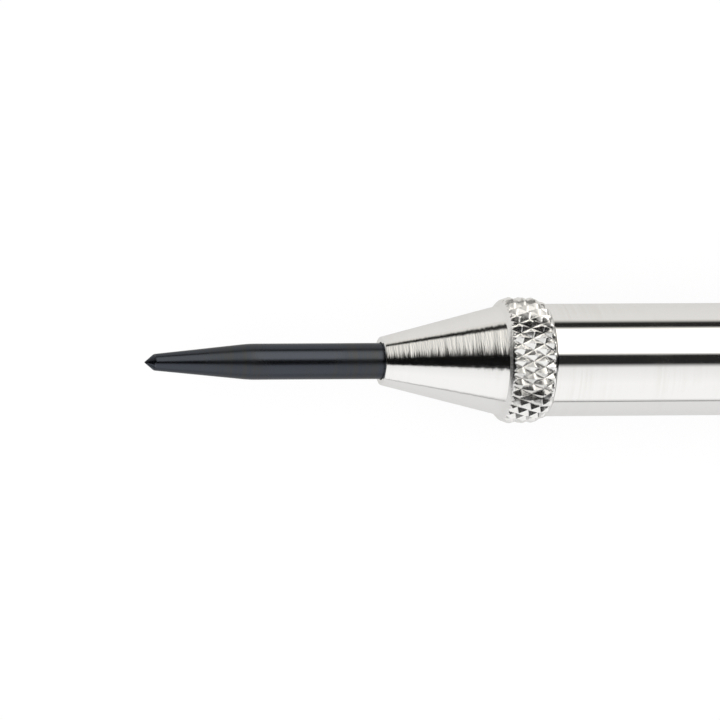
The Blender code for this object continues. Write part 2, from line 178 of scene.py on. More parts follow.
# %% [markdown]
# ## Effects that several finishes share
# A lathe leaves fine rings on everything it cuts. On a bright cone they smear each reflection into short
# streaks across the tool, which is what tells the eye that it was turned. They could be modelled as grooves,
# but they are a few thousandths of a millimetre deep, so a stretched noise in a bump does it: quick to change
# along the outline, slow to change around it. Smudges and worn edges get a group each as well, so that every
# finish below can use them with its own values.

# %% turning marks
FINE_MARKS = {"scale": 1.0, "detail": 3.0, "roughness": 0.62}
BROAD_SCALE, BROAD_SHARE = 0.35, 2.0
BAND_RANGE = (0.35, 0.65)


def turning_marks_group():
    inputs = [("Position", "Vector"), ("Rings per Metre", "Float"), ("Waver", "Float")]
    outputs = [("Height", "Float"), ("Bands", "Float")]
    group, given, result = open_group("turning_marks", "ShaderNodeTree", inputs, outputs)
    x, y, z = xyz(group, given["Position"])
    up = minus(group, z, AXIS_Z)
    reach = calc(group, "SQRT", plus(group, calc(group, "POWER", y, 2.0), calc(group, "POWER", up, 2.0)))
    along = times(group, plus(group, x, reach), given["Rings per Metre"])
    sideways = times(group, y, given["Waver"])
    upwards = times(group, up, given["Waver"])
    stretched = vector_of(group, along, sideways, upwards)
    fine = noise(group, stretched, **FINE_MARKS)
    broad = noise(group, stretched, BROAD_SCALE)
    feed(group, result["Height"], times_plus(group, broad, BROAD_SHARE, fine))
    feed(group, result["Bands"], ease(group, broad, *BAND_RANGE))
    return group


TURNING_MARKS = turning_marks_group()
print("shared effect:", TURNING_MARKS.name)

# %% smudges and worn edges
SMUDGE_RANGE = (0.42, 0.68)
WEAR_PATCHES, WEAR_BREAKS = 1800.0, (0.35, 0.6)
WEAR_RANGE = (0.12, 0.7)


def smudges_group():
    inputs = [("Position", "Vector"), ("Patches per Metre", "Float")]
    group, given, result = open_group("smudges", "ShaderNodeTree", inputs, [("Mask", "Float")])
    patches = noise(group, given["Position"], given["Patches per Metre"], detail=4.0)
    feed(group, result["Mask"], ease(group, patches, *SMUDGE_RANGE))
    return group


def worn_edges_group():
    inputs = [("Position", "Vector"), ("Edge", "Float"), ("Amount", "Float")]
    group, given, result = open_group("worn_edges", "ShaderNodeTree", inputs, [("Mask", "Float")])
    broken = ease(group, noise(group, given["Position"], WEAR_PATCHES, detail=3.0), *WEAR_BREAKS)
    worn = ease(group, times(group, given["Edge"], broken), *WEAR_RANGE)
    feed(group, result["Mask"], times(group, worn, given["Amount"]))
    return group


SMUDGES = smudges_group()
WORN_EDGES = worn_edges_group()
print("shared effects:", SMUDGES.name, WORN_EDGES.name)

# %% [markdown]
# ## Finishes
# Nickel plate, black oxide, ground steel and hardened steel differ in colour, polish and in how deep the
# turning marks are, but they are all turned metal. One function makes them, from two colours that smudges
# mix, the colour of a worn edge, a range of roughness and the depth of the marks. Each could be built by
# itself, but then a better smudge would have to be made four times. The even numbers sit on the shader's own
# sockets, where they survive an export.

# %% how a turned metal is made
SMUDGES_PER_METRE = 140.0
WORN_ROUGHNESS = 0.08


def use_group(tree, group, *values):
    made = add_node(tree, "ShaderNodeGroup", node_tree=group)
    for socket, value in zip(made.inputs, values):
        feed(tree, socket, value)
    return made.outputs


def new_finish(name, metallic):
    material = bpy.data.materials.new(name)
    material.use_nodes = True
    tree = material.node_tree
    shader = tree.nodes["Principled BSDF"]
    shader.inputs["Metallic"].default_value = metallic
    position = tree.nodes.new("ShaderNodeTexCoord").outputs["Object"]
    return material, tree, shader.inputs, position


def bump(tree, height, depth):
    made = tree.nodes.new("ShaderNodeBump")
    made.inputs["Distance"].default_value = depth
    feed(tree, made.inputs["Height"], height)
    return made.outputs["Normal"]


def turned_metal(name, clean, smudged, worn, roughness, marks, wear=0.6, edge_tint=(1.0, 1.0, 1.0)):
    """A turned metal. roughness is (polished, smudged), and marks is (depth, rings per metre, waver)."""
    material, tree, sockets, position = new_finish(name, 1.0)
    depth, rings, waver = marks
    turned = use_group(tree, TURNING_MARKS, position, rings, waver)
    smudge = use_group(tree, SMUDGES, position, SMUDGES_PER_METRE)["Mask"]
    edge = tree.nodes.new("ShaderNodeAttribute")
    edge.attribute_name = "edge"
    rubbed = use_group(tree, WORN_EDGES, position, edge.outputs["Fac"], wear)["Mask"]
    colour = tint(tree, times(tree, smudge, turned["Bands"]), clean, smudged)
    feed(tree, sockets["Base Color"], tint(tree, rubbed, colour, worn))
    haze = ease(tree, smudge, 0.0, 1.0, *roughness)
    feed(tree, sockets["Roughness"], times_plus(tree, rubbed, WORN_ROUGHNESS, haze))
    feed(tree, sockets["Normal"], bump(tree, turned["Height"], depth))
    sockets["Specular Tint"].default_value = (*edge_tint, 1.0)
    return material


print("turned metals share", SMUDGES_PER_METRE, "smudges per metre")

# %% [markdown]
# The nose is turned and plated as it comes off the lathe, so its marks are the deepest. The barrel is
# polished first, and the knurl's flanks are rolled, which leaves them dull. The point's black oxide mirrors
# only a little, and less than a plain metal at its edges. The inner pieces are ground, or hard and tinted by
# heat.

# %% turned metals
NICKEL = {"clean": (0.878, 0.870, 0.856), "smudged": (0.84, 0.828, 0.806), "worn": (0.90, 0.897, 0.89)}
TURNED_NICKEL = turned_metal("turned_nickel", **NICKEL, roughness=(0.10, 0.15), marks=(2.2e-5, 3200.0, 450.0))
POLISHED_NICKEL = turned_metal(
    "polished_nickel", **NICKEL, roughness=(0.06, 0.10), marks=(1.2e-7, 7000.0, 120.0)
)
KNURLED_NICKEL = turned_metal(
    "knurled_nickel", **NICKEL, roughness=(0.20, 0.26), marks=(1.2e-6, 9000.0, 7000.0)
)
BLACK_OXIDE = turned_metal(
    "black_oxide",
    clean=(0.060, 0.067, 0.080),
    smudged=(0.066, 0.068, 0.069),
    worn=(0.20, 0.20, 0.195),
    roughness=(0.25, 0.31),
    marks=(1.4e-6, 5000.0, 200.0),
    wear=0.8,
    edge_tint=(0.80, 0.80, 0.80),
)
GROUND_STEEL = turned_metal(
    "ground_steel",
    clean=(0.56, 0.56, 0.57),
    smudged=(0.47, 0.46, 0.45),
    worn=(0.68, 0.68, 0.68),
    roughness=(0.20, 0.30),
    marks=(1.5e-6, 14000.0, 150.0),
)
HARDENED_STEEL = turned_metal(
    "hardened_steel",
    clean=(0.33, 0.325, 0.33),
    smudged=(0.30, 0.25, 0.20),
    worn=(0.55, 0.54, 0.53),
    roughness=(0.26, 0.38),
    marks=(1.2e-6, 10000.0, 200.0),
)
print("turned metals: three of nickel, black oxide, ground steel and hardened steel")

# %% [markdown]
# Spring wire is drawn through a die, which leaves fine scratches, and it stays dark and oily. Rubber has no
# shine of its own, only a soft grain and a little pale dust. Neither is turned, so each is built by itself.

# %% spring wire and rubber
WIRE_COLOURS, WIRE_ROUGHNESS = ((0.43, 0.43, 0.44), (0.30, 0.28, 0.25)), (0.24, 0.36)
OIL_PATCHES = 700.0
WIRE_SCRATCHES, WIRE_SCRATCH_DEPTH = 9000.0, 1.5e-6
RUBBER_COLOURS, RUBBER_ROUGHNESS = ((0.020, 0.020, 0.021), (0.045, 0.043, 0.040)), (0.55, 0.75)
DUST_PATCHES = 900.0
RUBBER_GRAIN, RUBBER_GRAIN_DEPTH = 15000.0, 6.0e-6


def drawn_wire(name):
    material, tree, sockets, position = new_finish(name, 1.0)
    oil = use_group(tree, SMUDGES, position, OIL_PATCHES)["Mask"]
    feed(tree, sockets["Base Color"], tint(tree, oil, *WIRE_COLOURS))
    feed(tree, sockets["Roughness"], ease(tree, oil, 0.0, 1.0, *WIRE_ROUGHNESS))
    feed(tree, sockets["Normal"], bump(tree, noise(tree, position, WIRE_SCRATCHES), WIRE_SCRATCH_DEPTH))
    return material


def rubber(name):
    material, tree, sockets, position = new_finish(name, 0.0)
    dust = use_group(tree, SMUDGES, position, DUST_PATCHES)["Mask"]
    grain = noise(tree, position, RUBBER_GRAIN, detail=3.0)
    feed(tree, sockets["Base Color"], tint(tree, dust, *RUBBER_COLOURS))
    feed(tree, sockets["Roughness"], ease(tree, dust, 0.0, 1.0, *RUBBER_ROUGHNESS))
    feed(tree, sockets["Normal"], bump(tree, grain, RUBBER_GRAIN_DEPTH))
    return material


SPRING_WIRE = drawn_wire("spring_wire")
BLACK_RUBBER = rubber("black_rubber")
print("made", SPRING_WIRE.name, "and", BLACK_RUBBER.name)

# %% [markdown]
# ## Turned skins
# A turned piece is an outline swept round the axis. Blender's Screw modifier could do it, but here some
# pieces mix plain stretches with a knurl or a thread of another fineness, so rings of points are laid down
# and joined one to the next. Where a fine ring meets a coarse one, each coarse point fans out to its share of
# fine points. No edge on a real tool is perfectly sharp: every corner of an outline is eased with a small
# curve, and the outer ones are marked in an attribute named edge, where the finish shows wear.

# %% outlines with eased corners
CORNER_STEPS = 4
LARGEST_CUT = 0.35
SUPPORT = 1.3


def eased(outline, softness):
    """Round the inner corners of an outline of (station, radius) or (station, radius, softness) points."""
    points = [Vector(p[:2]) for p in outline]
    soft = [p[2] if len(p) > 2 else softness for p in outline]
    result = [(*points[0], 0.0)]
    for before, corner, after, size in zip(points, points[1:], points[2:], soft[1:]):
        to_before, to_after = before - corner, after - corner
        cut = min(size, LARGEST_CUT * to_before.length, LARGEST_CUT * to_after.length)
        before_way, after_way = to_before.normalized(), to_after.normalized()
        start, end = corner + before_way * cut, corner + after_way * cut
        keen = max(0.0, before_way.x * after_way.y - before_way.y * after_way.x)
        result.append((*(corner + (start - corner) * SUPPORT), 0.0))
        for step in range(CORNER_STEPS + 1):
            t = step / CORNER_STEPS
            place = start * (1 - t) ** 2 + corner * 2 * t * (1 - t) + end * t**2
            result.append((*place, 4 * t * (1 - t) * keen))
        result.append((*(corner + (end - corner) * SUPPORT), 0.0))
    return result + [(*points[-1], 0.0)]


def dome(front, length, outer_r, flat_r, steps):
    """A quarter of an ellipse, from the outside in to a flat end."""
    angles = [math.pi / 2 * step / steps for step in range(steps + 1)]
    bulge = outer_r - flat_r
    return [(front + length * math.sin(angle), flat_r + bulge * math.cos(angle), 0.0) for angle in angles]


print("each eased corner takes", CORNER_STEPS + 3, "points")

# %% from a mesh to a finished piece
WELD = 1.0e-6
SHARP_ANGLE = math.radians(28)


def finished(name, mesh, *materials):
    """Weld a mesh, turn its faces outwards, shade it, and put it in the scene."""
    bm = bmesh.new()
    bm.from_mesh(mesh)
    bmesh.ops.remove_doubles(bm, verts=bm.verts, dist=WELD)
    bmesh.ops.recalc_face_normals(bm, faces=bm.faces)
    open_edges = sum(not e.is_manifold for e in bm.edges)
    bm.to_mesh(mesh)
    bm.free()
    mesh.shade_smooth()
    mesh.set_sharp_from_angle(angle=SHARP_ANGLE)
    for material in materials:
        mesh.materials.append(material)
    piece = bpy.data.objects.new(name, mesh)
    bpy.context.scene.collection.objects.link(piece)
    mesh.calc_loop_triangles()
    print(f"{name}: {len(mesh.loop_triangles)} triangles, {open_edges} open edges")
    return piece


def fit(piece, node):
    """Let a finished piece stand for a node, on its body."""
    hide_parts(node)
    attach(piece, BODY_OF[node])
    return piece


print(f"points within {1000 * WELD:.3f} mm are welded")

# %% skins of rings


class TurnedSkin:
    """Rings round the tool's axis, joined into the skin of one piece."""

    def __init__(self, material):
        self.points, self.faces, self.edge = [], [], []
        self.materials, self.banded = [material], {}

    def ring(self, station, radius, columns, edge=0.0):
        start = len(self.points)
        count = columns if radius > WELD else 1
        for n in range(count):
            angle = 2 * math.pi * n / columns
            place = (TIP_X + station, radius * math.cos(angle), AXIS_Z + radius * math.sin(angle))
            self.points.append(place)
            self.edge.append(edge)
        return range(start, start + count)

    def join(self, first, second):
        """Join two rings, of which one may have a whole number of times as many points."""
        if len(first) < len(second):
            first, second = second, first
        share = len(first) // len(second)
        for n, point in enumerate(second):
            fine = [first[(n * share + k) % len(first)] for k in range(share + 1)]
            self.faces += [(point, a, b) for a, b in zip(fine, fine[1:])]
            if len(second) > 1:
                self.faces.append((point, fine[-1], second[(n + 1) % len(second)]))

    def sweep(self, outline, columns):
        """Sweep an outline round the axis, and give its first and last ring."""
        rings = [self.ring(station, radius, columns, edge) for station, radius, edge in outline]
        for first, second in zip(rings, rings[1:]):
            self.join(first, second)
        return rings[0], rings[-1]

    def take(self, mesh):
        """Add a ready mesh whose rims lie on this skin's rings."""
        start = len(self.points)
        self.points += [tuple(v.co) for v in mesh.vertices]
        marks = mesh.attributes.get("edge")
        self.edge += [mark.value for mark in marks.data] if marks else [0.0] * len(mesh.vertices)
        if mesh.materials[0] not in self.materials:
            self.materials.append(mesh.materials[0])
        band = range(len(self.faces), len(self.faces) + len(mesh.polygons))
        self.banded[band] = self.materials.index(mesh.materials[0])
        self.faces += [tuple(start + v for v in polygon.vertices) for polygon in mesh.polygons]
        bpy.data.meshes.remove(mesh)

    def piece(self, name):
        mesh = bpy.data.meshes.new(name)
        mesh.from_pydata(self.points, [], self.faces)
        mesh.attributes.new("edge", "FLOAT", "POINT").data.foreach_set("value", self.edge)
        for band, index in self.banded.items():
            for face in band:
                mesh.polygons[face].material_index = index
        return finished(name, mesh, *self.materials)


print("turned skins ready")

# %% [markdown]
# ## Grids that wrap round the tool
# Knurls and threads both follow a rule round the axis, so both start as a flat grid in Geometry Nodes. A
# point's column says how far round it goes, its row how far along, and the rule gives its radius. A finished
# tree is run once, with its sizes set on the modifier, and its result is taken out as a plain mesh.

# %% helpers for geometry trees


def open_tree(name, *labels):
    inputs = [(label, "Float") for label in labels] + [("Material", "Material")]
    return open_group(name, "GeometryNodeTree", inputs, [("Geometry", "Geometry")])


def close_tree(tree, geometry, given, result):
    """End a geometry tree with real geometry that carries its material."""
    real = add_node(tree, "GeometryNodeRealizeInstances", geometry).outputs[0]
    painted = add_node(tree, "GeometryNodeSetMaterial", real, None, given["Material"]).outputs[0]
    feed(tree, result["Geometry"], painted)


def run_tree(tree, material, **sizes):
    """Evaluate a geometry tree with these sizes and give the plain mesh."""
    carrier = bpy.data.objects.new(tree.name, bpy.data.meshes.new(tree.name))
    bpy.context.scene.collection.objects.link(carrier)
    modifier = carrier.modifiers.new(tree.name, "NODES")
    modifier.node_group = tree
    for item in tree.interface.items_tree:
        if item.in_out == "INPUT":
            key = item.name.lower().replace(" ", "_")
            modifier[item.identifier] = material if key == "material" else float(sizes[key])
    evaluated = carrier.evaluated_get(bpy.context.evaluated_depsgraph_get())
    mesh = bpy.data.meshes.new_from_object(evaluated)
    carrier.modifiers.clear()
    bpy.data.objects.remove(carrier)
    while mesh.materials[0] is None:
        mesh.materials.pop(index=0)
    return mesh


def grid_steps(tree, columns, rows):
    """A grid of unit squares, and each point's column and row."""
    more_columns, more_rows = plus(tree, columns, 1.0), plus(tree, rows, 1.0)
    grid = add_node(tree, "GeometryNodeMeshGrid", columns, rows, more_columns, more_rows).outputs["Mesh"]
    x, y, _ = xyz(tree, tree.nodes.new("GeometryNodeInputPosition").outputs[0])
    column = times_plus(tree, columns, 0.5, x)
    row = times_plus(tree, rows, 0.5, y)
    return grid, column, row


def cosine_sine(tree, turn):
    angle = times(tree, turn, 2 * math.pi)
    return calc(tree, "COSINE", angle), calc(tree, "SINE", angle)


def wrap(tree, grid, station, radius, turn):
    """Move a grid's points to stations and radii round the tool's axis."""
    cosine, sine = cosine_sine(tree, turn)
    up = times_plus(tree, radius, sine, AXIS_Z)
    place = vector_of(tree, plus(tree, station, TIP_X), times(tree, radius, cosine), up)
    return add_node(tree, "GeometryNodeSetPosition", grid, None, place).outputs[0]


print("helpers for geometry trees ready")

# %% [markdown]
# ## The knurl
# A knurl is rolled in by two wheels with slanted teeth, one of each hand. Their grooves cross and leave rows
# of small pyramids. Hundreds of pyramids could be copied round the nose, but their bases would have to meet
# exactly. A rule is neater: each point of the grid sinks by how near it lies to a groove of either hand. The
# wheel pushes metal before it, so the pyramids lean a little to the rear: their front flanks are longer. The
# grid's lines follow the pyramids' ridges, and each square is split along its shorter diagonal, which is the
# one that lies in a groove.

# %% pyramids between crossing grooves
CREST_SOFTNESS = 0.1


def pyramid_height(tree, given, around, along):
    """Height over the grooves, from 0 in a groove to 1 on a crest."""
    front_flank = times_plus(tree, given["Lean"], 0.5, 0.5)
    rear_flank = minus(tree, 1.0, front_flank)
    hands = []
    for operation in ("ADD", "SUBTRACT"):
        from_groove = calc(tree, "FRACT", times(tree, calc(tree, operation, along, around), 0.5))
        to_groove = minus(tree, 1.0, from_groove)
        climb = over(tree, from_groove, front_flank)
        hands.append(lesser(tree, climb, over(tree, to_groove, rear_flank)))
    slope = lesser(tree, *hands)
    steep = over(tree, slope, minus(tree, 1.0, given["Crest"]))
    return calc(tree, "SMOOTH_MIN", steep, 1.0, CREST_SOFTNESS)


print("pyramids from two hands of grooves")

# %% [markdown]
# A knurl isn't even all over. The wheel bites a little deeper here and there, which a noise does, and its
# grooves run out at both ends. In front, the turned outline flares up in a hollow curve; behind, it is
# rounded off, and the grooves go down with it. The wheel never reaches below its depth, so wherever the
# outline is lower than the grooves the skin stays smooth, as on the flare.

# %% the knurl as a node tree
UNEVEN_PATCHES, UNEVEN_RANGE = 9.0, (0.25, 0.75)
UNEVEN_DEPTH = (0.93, 1.05)
FLARE_POWER = 2.5
ROUNDING_POWER = 2.0
WORN_CREST = (0.9, 1.0)


def uneven_bite(tree, turn, share):
    """A share of the groove's depth that changes round the knurl without a seam."""
    patches = noise(tree, vector_of(tree, *cosine_sine(tree, turn), share), UNEVEN_PATCHES)
    return ease(tree, patches, *UNEVEN_RANGE, *UNEVEN_DEPTH, "LINEAR")


def knurl_tree():
    labels = ("Front", "Length", "Radius", "Diamonds", "Cells", "Fineness", "Depth", "Lean", "Crest")
    labels += ("Fade", "Front Run", "Front Drop", "Rear Run", "Rear Drop")
    tree, given, result = open_tree("knurl", *labels)
    columns = times(tree, times(tree, given["Diamonds"], 2.0), given["Fineness"])
    rows = times(tree, given["Cells"], given["Fineness"])
    grid, column, row = grid_steps(tree, columns, rows)
    turn, share = over(tree, column, columns), over(tree, row, rows)
    around, along = over(tree, column, given["Fineness"]), over(tree, row, given["Fineness"])
    height = pyramid_height(tree, given, around, along)
    distance = times(tree, share, given["Length"])
    to_rear = minus(tree, given["Length"], distance)
    to_end = lesser(tree, distance, to_rear)
    fade = lesser(tree, over(tree, to_end, given["Fade"]), 1.0)
    depth = times(tree, times(tree, given["Depth"], uneven_bite(tree, turn, share)), fade)
    sunk = times(tree, minus(tree, 1.0, height), depth)
    rise = lesser(tree, over(tree, distance, given["Front Run"]), 1.0)
    still_low = calc(tree, "POWER", minus(tree, 1.0, rise), FLARE_POWER)
    front_low = times(tree, still_low, given["Front Drop"])
    left = minus(tree, 1.0, over(tree, to_rear, given["Rear Run"]))
    fall = calc(tree, "POWER", greater(tree, left, 0.0), ROUNDING_POWER)
    rear_outline = minus(tree, given["Radius"], times(tree, fall, given["Rear Drop"]))
    front_outline = minus(tree, rear_outline, front_low)
    radius = lesser(tree, front_outline, minus(tree, rear_outline, sunk))
    station = plus(tree, given["Front"], distance)
    crest = ease(tree, height, *WORN_CREST)
    store = add_node(tree, "GeometryNodeStoreNamedAttribute", grid, None, "edge", crest)
    wrapped = wrap(tree, store.outputs[0], station, radius, turn)
    folded = add_node(tree, "GeometryNodeTriangulate", wrapped, quad_method="SHORTEST_DIAGONAL").outputs[0]
    close_tree(tree, folded, given, result)
    return tree


KNURL = knurl_tree()
print("knurl tree:", len(KNURL.nodes), "nodes")

# %% knurls of one wheel
KNURL_PITCH = 0.001375
KNURL_ANGLE = math.radians(27.5)
KNURL_DEPTH = 0.00045
KNURL_CREST = 0.1
KNURL_LEAN = 0.1
KNURL_FADE = 0.0003
KNURL_FINENESS = 10
KNURL_DIAMONDS = round(2 * math.pi * NOSE_KNURL_R / KNURL_PITCH)
FINE_COLUMNS = 2 * KNURL_DIAMONDS * KNURL_FINENESS
PLAIN_COLUMNS = FINE_COLUMNS // 4


def knurl_band(front, rear, radius, front_run, front_drop, rear_run, rear_drop):
    """A knurl between two stations, with its outline lowered over a run at each end."""
    cells = round(2 * (rear - front) * math.tan(KNURL_ANGLE) / KNURL_PITCH)
    return run_tree(
        KNURL,
        KNURLED_NICKEL,
        front=front,
        length=rear - front,
        radius=radius,
        diamonds=KNURL_DIAMONDS,
        cells=cells,
        fineness=KNURL_FINENESS,
        depth=KNURL_DEPTH,
        lean=KNURL_LEAN,
        crest=KNURL_CREST,
        fade=KNURL_FADE,
        front_run=front_run,
        front_drop=front_drop,
        rear_run=rear_run,
        rear_drop=rear_drop,
    )


print(f"knurl: {KNURL_DIAMONDS} diamonds round, {FINE_COLUMNS} columns of points")

# %% [markdown]
# ## Screw threads
# The nose screws into the barrel, the cap screws on its rear neck, and the point screws into the spindle. A
# thread is one groove that winds round and round. A ridge could be swept along a helix, but it would then
# have to be joined to the shaft. As a wrapped grid it is part of the skin: each row of points climbs one
# pitch in a turn and meets the row one turn further on. Both ends run out in a chamfer.

# %% the thread as a node tree
THREAD_FLANK = (0.15, 0.85)
THREAD_ROWS = 10


def thread_tree():
    labels = ("Front", "Length", "Radius", "Pitch", "Depth", "Columns", "Rows per Turn")
    tree, given, result = open_tree("thread", *labels)
    turns = calc(tree, "CEIL", plus(tree, over(tree, given["Length"], given["Pitch"]), 1.0))
    rows = times(tree, turns, given["Rows per Turn"])
    grid, column, row = grid_steps(tree, given["Columns"], rows)
    turn = over(tree, column, given["Columns"])
    wound = over(tree, row, given["Rows per Turn"])
    climbed = times(tree, plus(tree, minus(tree, wound, 1.0), turn), given["Pitch"])
    distance = lesser(tree, greater(tree, climbed, 0.0), given["Length"])
    flank = times(tree, calc(tree, "PINGPONG", wound, 0.5), 2.0)
    ridge = ease(tree, flank, *THREAD_FLANK, kind="LINEAR")
    depth = calc(tree, "ABSOLUTE", given["Depth"])
    to_end = lesser(tree, distance, minus(tree, given["Length"], distance))
    lift = lesser(tree, times(tree, ridge, depth), to_end)
    root = minus(tree, given["Radius"], given["Depth"])
    radius = times_plus(tree, lift, calc(tree, "SIGN", given["Depth"]), root)
    station = plus(tree, given["Front"], distance)
    close_tree(tree, wrap(tree, grid, station, radius, turn), given, result)
    return tree


THREAD = thread_tree()


def thread_band(front, rear, radius, pitch, depth, columns, material):
    """A thread between two stations. A negative depth cuts outwards, for a nut's thread."""
    return run_tree(
        THREAD,
        material,
        front=front,
        length=rear - front,
        radius=radius,
        pitch=pitch,
        depth=depth,
        columns=columns,
        rows_per_turn=THREAD_ROWS,
    )


print("thread tree:", len(THREAD.nodes), "nodes")

# %% [markdown]
# ## The point
# The point is the part that wears, so it is a separate piece that unscrews. It is ground to a sharp tip of 82
# degrees, tapers up to a 4 mm shank, and is blackened. Use has rounded the tip's shoulder and rubbed off a
# little of its oxide. It could be a cone and two cylinders, but one swept outline has no seams between them.

# %% the black point
TIP_ANGLE = math.radians(82)
TIP_SHOULDER_R = 0.00092
TIP_BLUNTING = 0.00005
TIP_ROUNDING = 0.00014
TAPER_LENGTH = 0.0108
TAPER_BLEND = 0.0008
STUD_LENGTH = 0.0048
STUD_R = 0.0012
STUD_PITCH = 0.00045
STUD_DEPTH = 0.00022
CHAMFER = 0.0002
FINE_EDGE = 0.00006
ROUND_COLUMNS = 192


def make_point():
    shoulder = TIP_SHOULDER_R / math.tan(TIP_ANGLE / 2)
    shank_end = STUD_END - STUD_LENGTH
    root = STUD_R - STUD_DEPTH
    thread = (shank_end + CHAMFER, STUD_END - CHAMFER)
    front = [
        (0.0, 0.0),
        (0.0, TIP_BLUNTING),
        (shoulder, TIP_SHOULDER_R, TIP_ROUNDING),
        (shoulder + TAPER_LENGTH, SHANK_R, TAPER_BLEND),
        (shank_end - CHAMFER, SHANK_R),
        (shank_end, SHANK_R - CHAMFER),
        (shank_end, root),
        (thread[0], root),
    ]
    rear = [(thread[1], root), (STUD_END, root), (STUD_END, 0.0)]
    skin = TurnedSkin(BLACK_OXIDE)
    skin.sweep(eased(front, FINE_EDGE), ROUND_COLUMNS)
    skin.take(thread_band(*thread, STUD_R, STUD_PITCH, STUD_DEPTH, ROUND_COLUMNS, BLACK_OXIDE))
    skin.sweep(eased(rear, FINE_EDGE), ROUND_COLUMNS)
    return skin.piece("black_point")


fit(make_point(), "punch_point")

# %% [markdown]
# ## The nose
# One turned piece: a thin rounded lip round the point, a smooth cone, a flare up to the knurled collar, and
# behind it the threaded spigot that goes into the barrel. The outside is swept in fine columns to match the
# knurl, and the inside in a quarter as many, and the two meet on the flat faces at both ends. The nose can
# stop anywhere when it is screwed in, so it is turned a little, to lay the diamonds as the picture has them.

# %% sizes of the cone nose
NOSE_LIP = 0.00059
LIP_ROUND = 0.0003
GUIDE_CLEARANCE = 0.00008
GUIDE_R = SHANK_R + GUIDE_CLEARANCE
CONE_LENGTH = 0.0133
CONE_STEP = 0.00022
FLARE_RUN = 0.0015
NOSE_ROUNDING = 0.0018
NOSE_DROP = 0.0006
NOSE_LAND = 0.0001
NOSE_BACK = 0.04555
NOSE_TURN = math.radians(1.1)
POCKET_R = 0.0041
POCKET_FRONT = STUD_END - STUD_LENGTH
SPIGOT_R = 0.0050
THREAD_PITCH = 0.0010
THREAD_DEPTH = 0.00045
RELIEF_LENGTH = 0.0010
print(f"nose: from {1000 * NOSE_FACE:.2f} to {1000 * NOSE_BACK:.2f} mm behind the tip")

# %% the cone nose


def make_nose():
    cone_end = NOSE_FACE + CONE_LENGTH
    cone_base_r = BARREL_R - CONE_STEP
    knurl_rear = NOSE_BACK - NOSE_LAND
    rear_r = NOSE_KNURL_R - NOSE_DROP
    root = SPIGOT_R - THREAD_DEPTH
    thread = (NOSE_BACK + RELIEF_LENGTH, SPIGOT_END - CHAMFER)
    lip_r = GUIDE_R + NOSE_LIP
    cone = [(NOSE_FACE, (GUIDE_R + lip_r) / 2), (NOSE_FACE, lip_r), (cone_end, cone_base_r)]
    flare = (FLARE_RUN, NOSE_KNURL_R - cone_base_r, NOSE_ROUNDING, NOSE_DROP)
    back = [
        (knurl_rear, rear_r),
        (NOSE_BACK, rear_r - NOSE_LAND),
        (NOSE_BACK, (rear_r + SPIGOT_R) / 2),
    ]
    relief = [(NOSE_BACK, SPIGOT_R), (NOSE_BACK, root), (thread[0], root)]
    inside = [
        (thread[1], root),
        (SPIGOT_END, root - CHAMFER / 2),
        (SPIGOT_END, POCKET_R),
        (POCKET_FRONT, POCKET_R),
        (POCKET_FRONT, GUIDE_R),
        (NOSE_FACE + FINE_EDGE, GUIDE_R),
        (NOSE_FACE, GUIDE_R + FINE_EDGE),
    ]
    skin = TurnedSkin(TURNED_NICKEL)
    face_rim, _ = skin.sweep(eased(cone, LIP_ROUND), FINE_COLUMNS)
    skin.take(knurl_band(cone_end, knurl_rear, NOSE_KNURL_R, *flare))
    _, back_rim = skin.sweep(eased(back, FINE_EDGE), FINE_COLUMNS)
    spigot_rim, _ = skin.sweep(eased(relief, FINE_EDGE), PLAIN_COLUMNS)
    skin.take(thread_band(*thread, SPIGOT_R, THREAD_PITCH, THREAD_DEPTH, PLAIN_COLUMNS, TURNED_NICKEL))
    _, bore_rim = skin.sweep(eased(inside, FINE_EDGE), PLAIN_COLUMNS)
    skin.join(back_rim, spigot_rim)
    skin.join(face_rim, bore_rim)
    nose = skin.piece("cone_nose")
    to_axis = Matrix.Translation((0.0, 0.0, AXIS_Z))
    nose.data.transform(to_axis @ Matrix.Rotation(NOSE_TURN, 4, "X") @ to_axis.inverted())
    return nose


fit(make_nose(), "nose_cone")

# %% [markdown]
# ## The barrel
# A plain tube, polished before it was plated, with the socket for the nose in front and a threaded neck with
# a ring groove behind. It could be a cylinder with holes cut out, but the outline of its wall, swept round,
# gives every bore and groove at once. It stops a hair short of the nose, so the joint shows as a fine dark
# line.

# %% the barrel
JOINT_LINE = 0.00003
BARREL_EDGE = 0.00012
SOCKET_R = 0.00515
SLEEVE_BORE_R = 0.00505
CHAMBER_R = 0.0036
SEAT_GAP = 0.0003
SOCKET_END = SPIGOT_END + SEAT_GAP
CHAMBER_FRONT = span("trip_sleeve")[1] + SEAT_GAP
BARREL_BACK = CAP_FRONT - SEAT_GAP
NECK_R = 0.0050
RING_FRONT, RING_REAR, RING_R = span("cap_ring")
GROOVE_CLEARANCE = 0.0001
GROOVE_R = RING_R - (RING_REAR - RING_FRONT) - GROOVE_CLEARANCE
BARREL_COLUMNS = 228


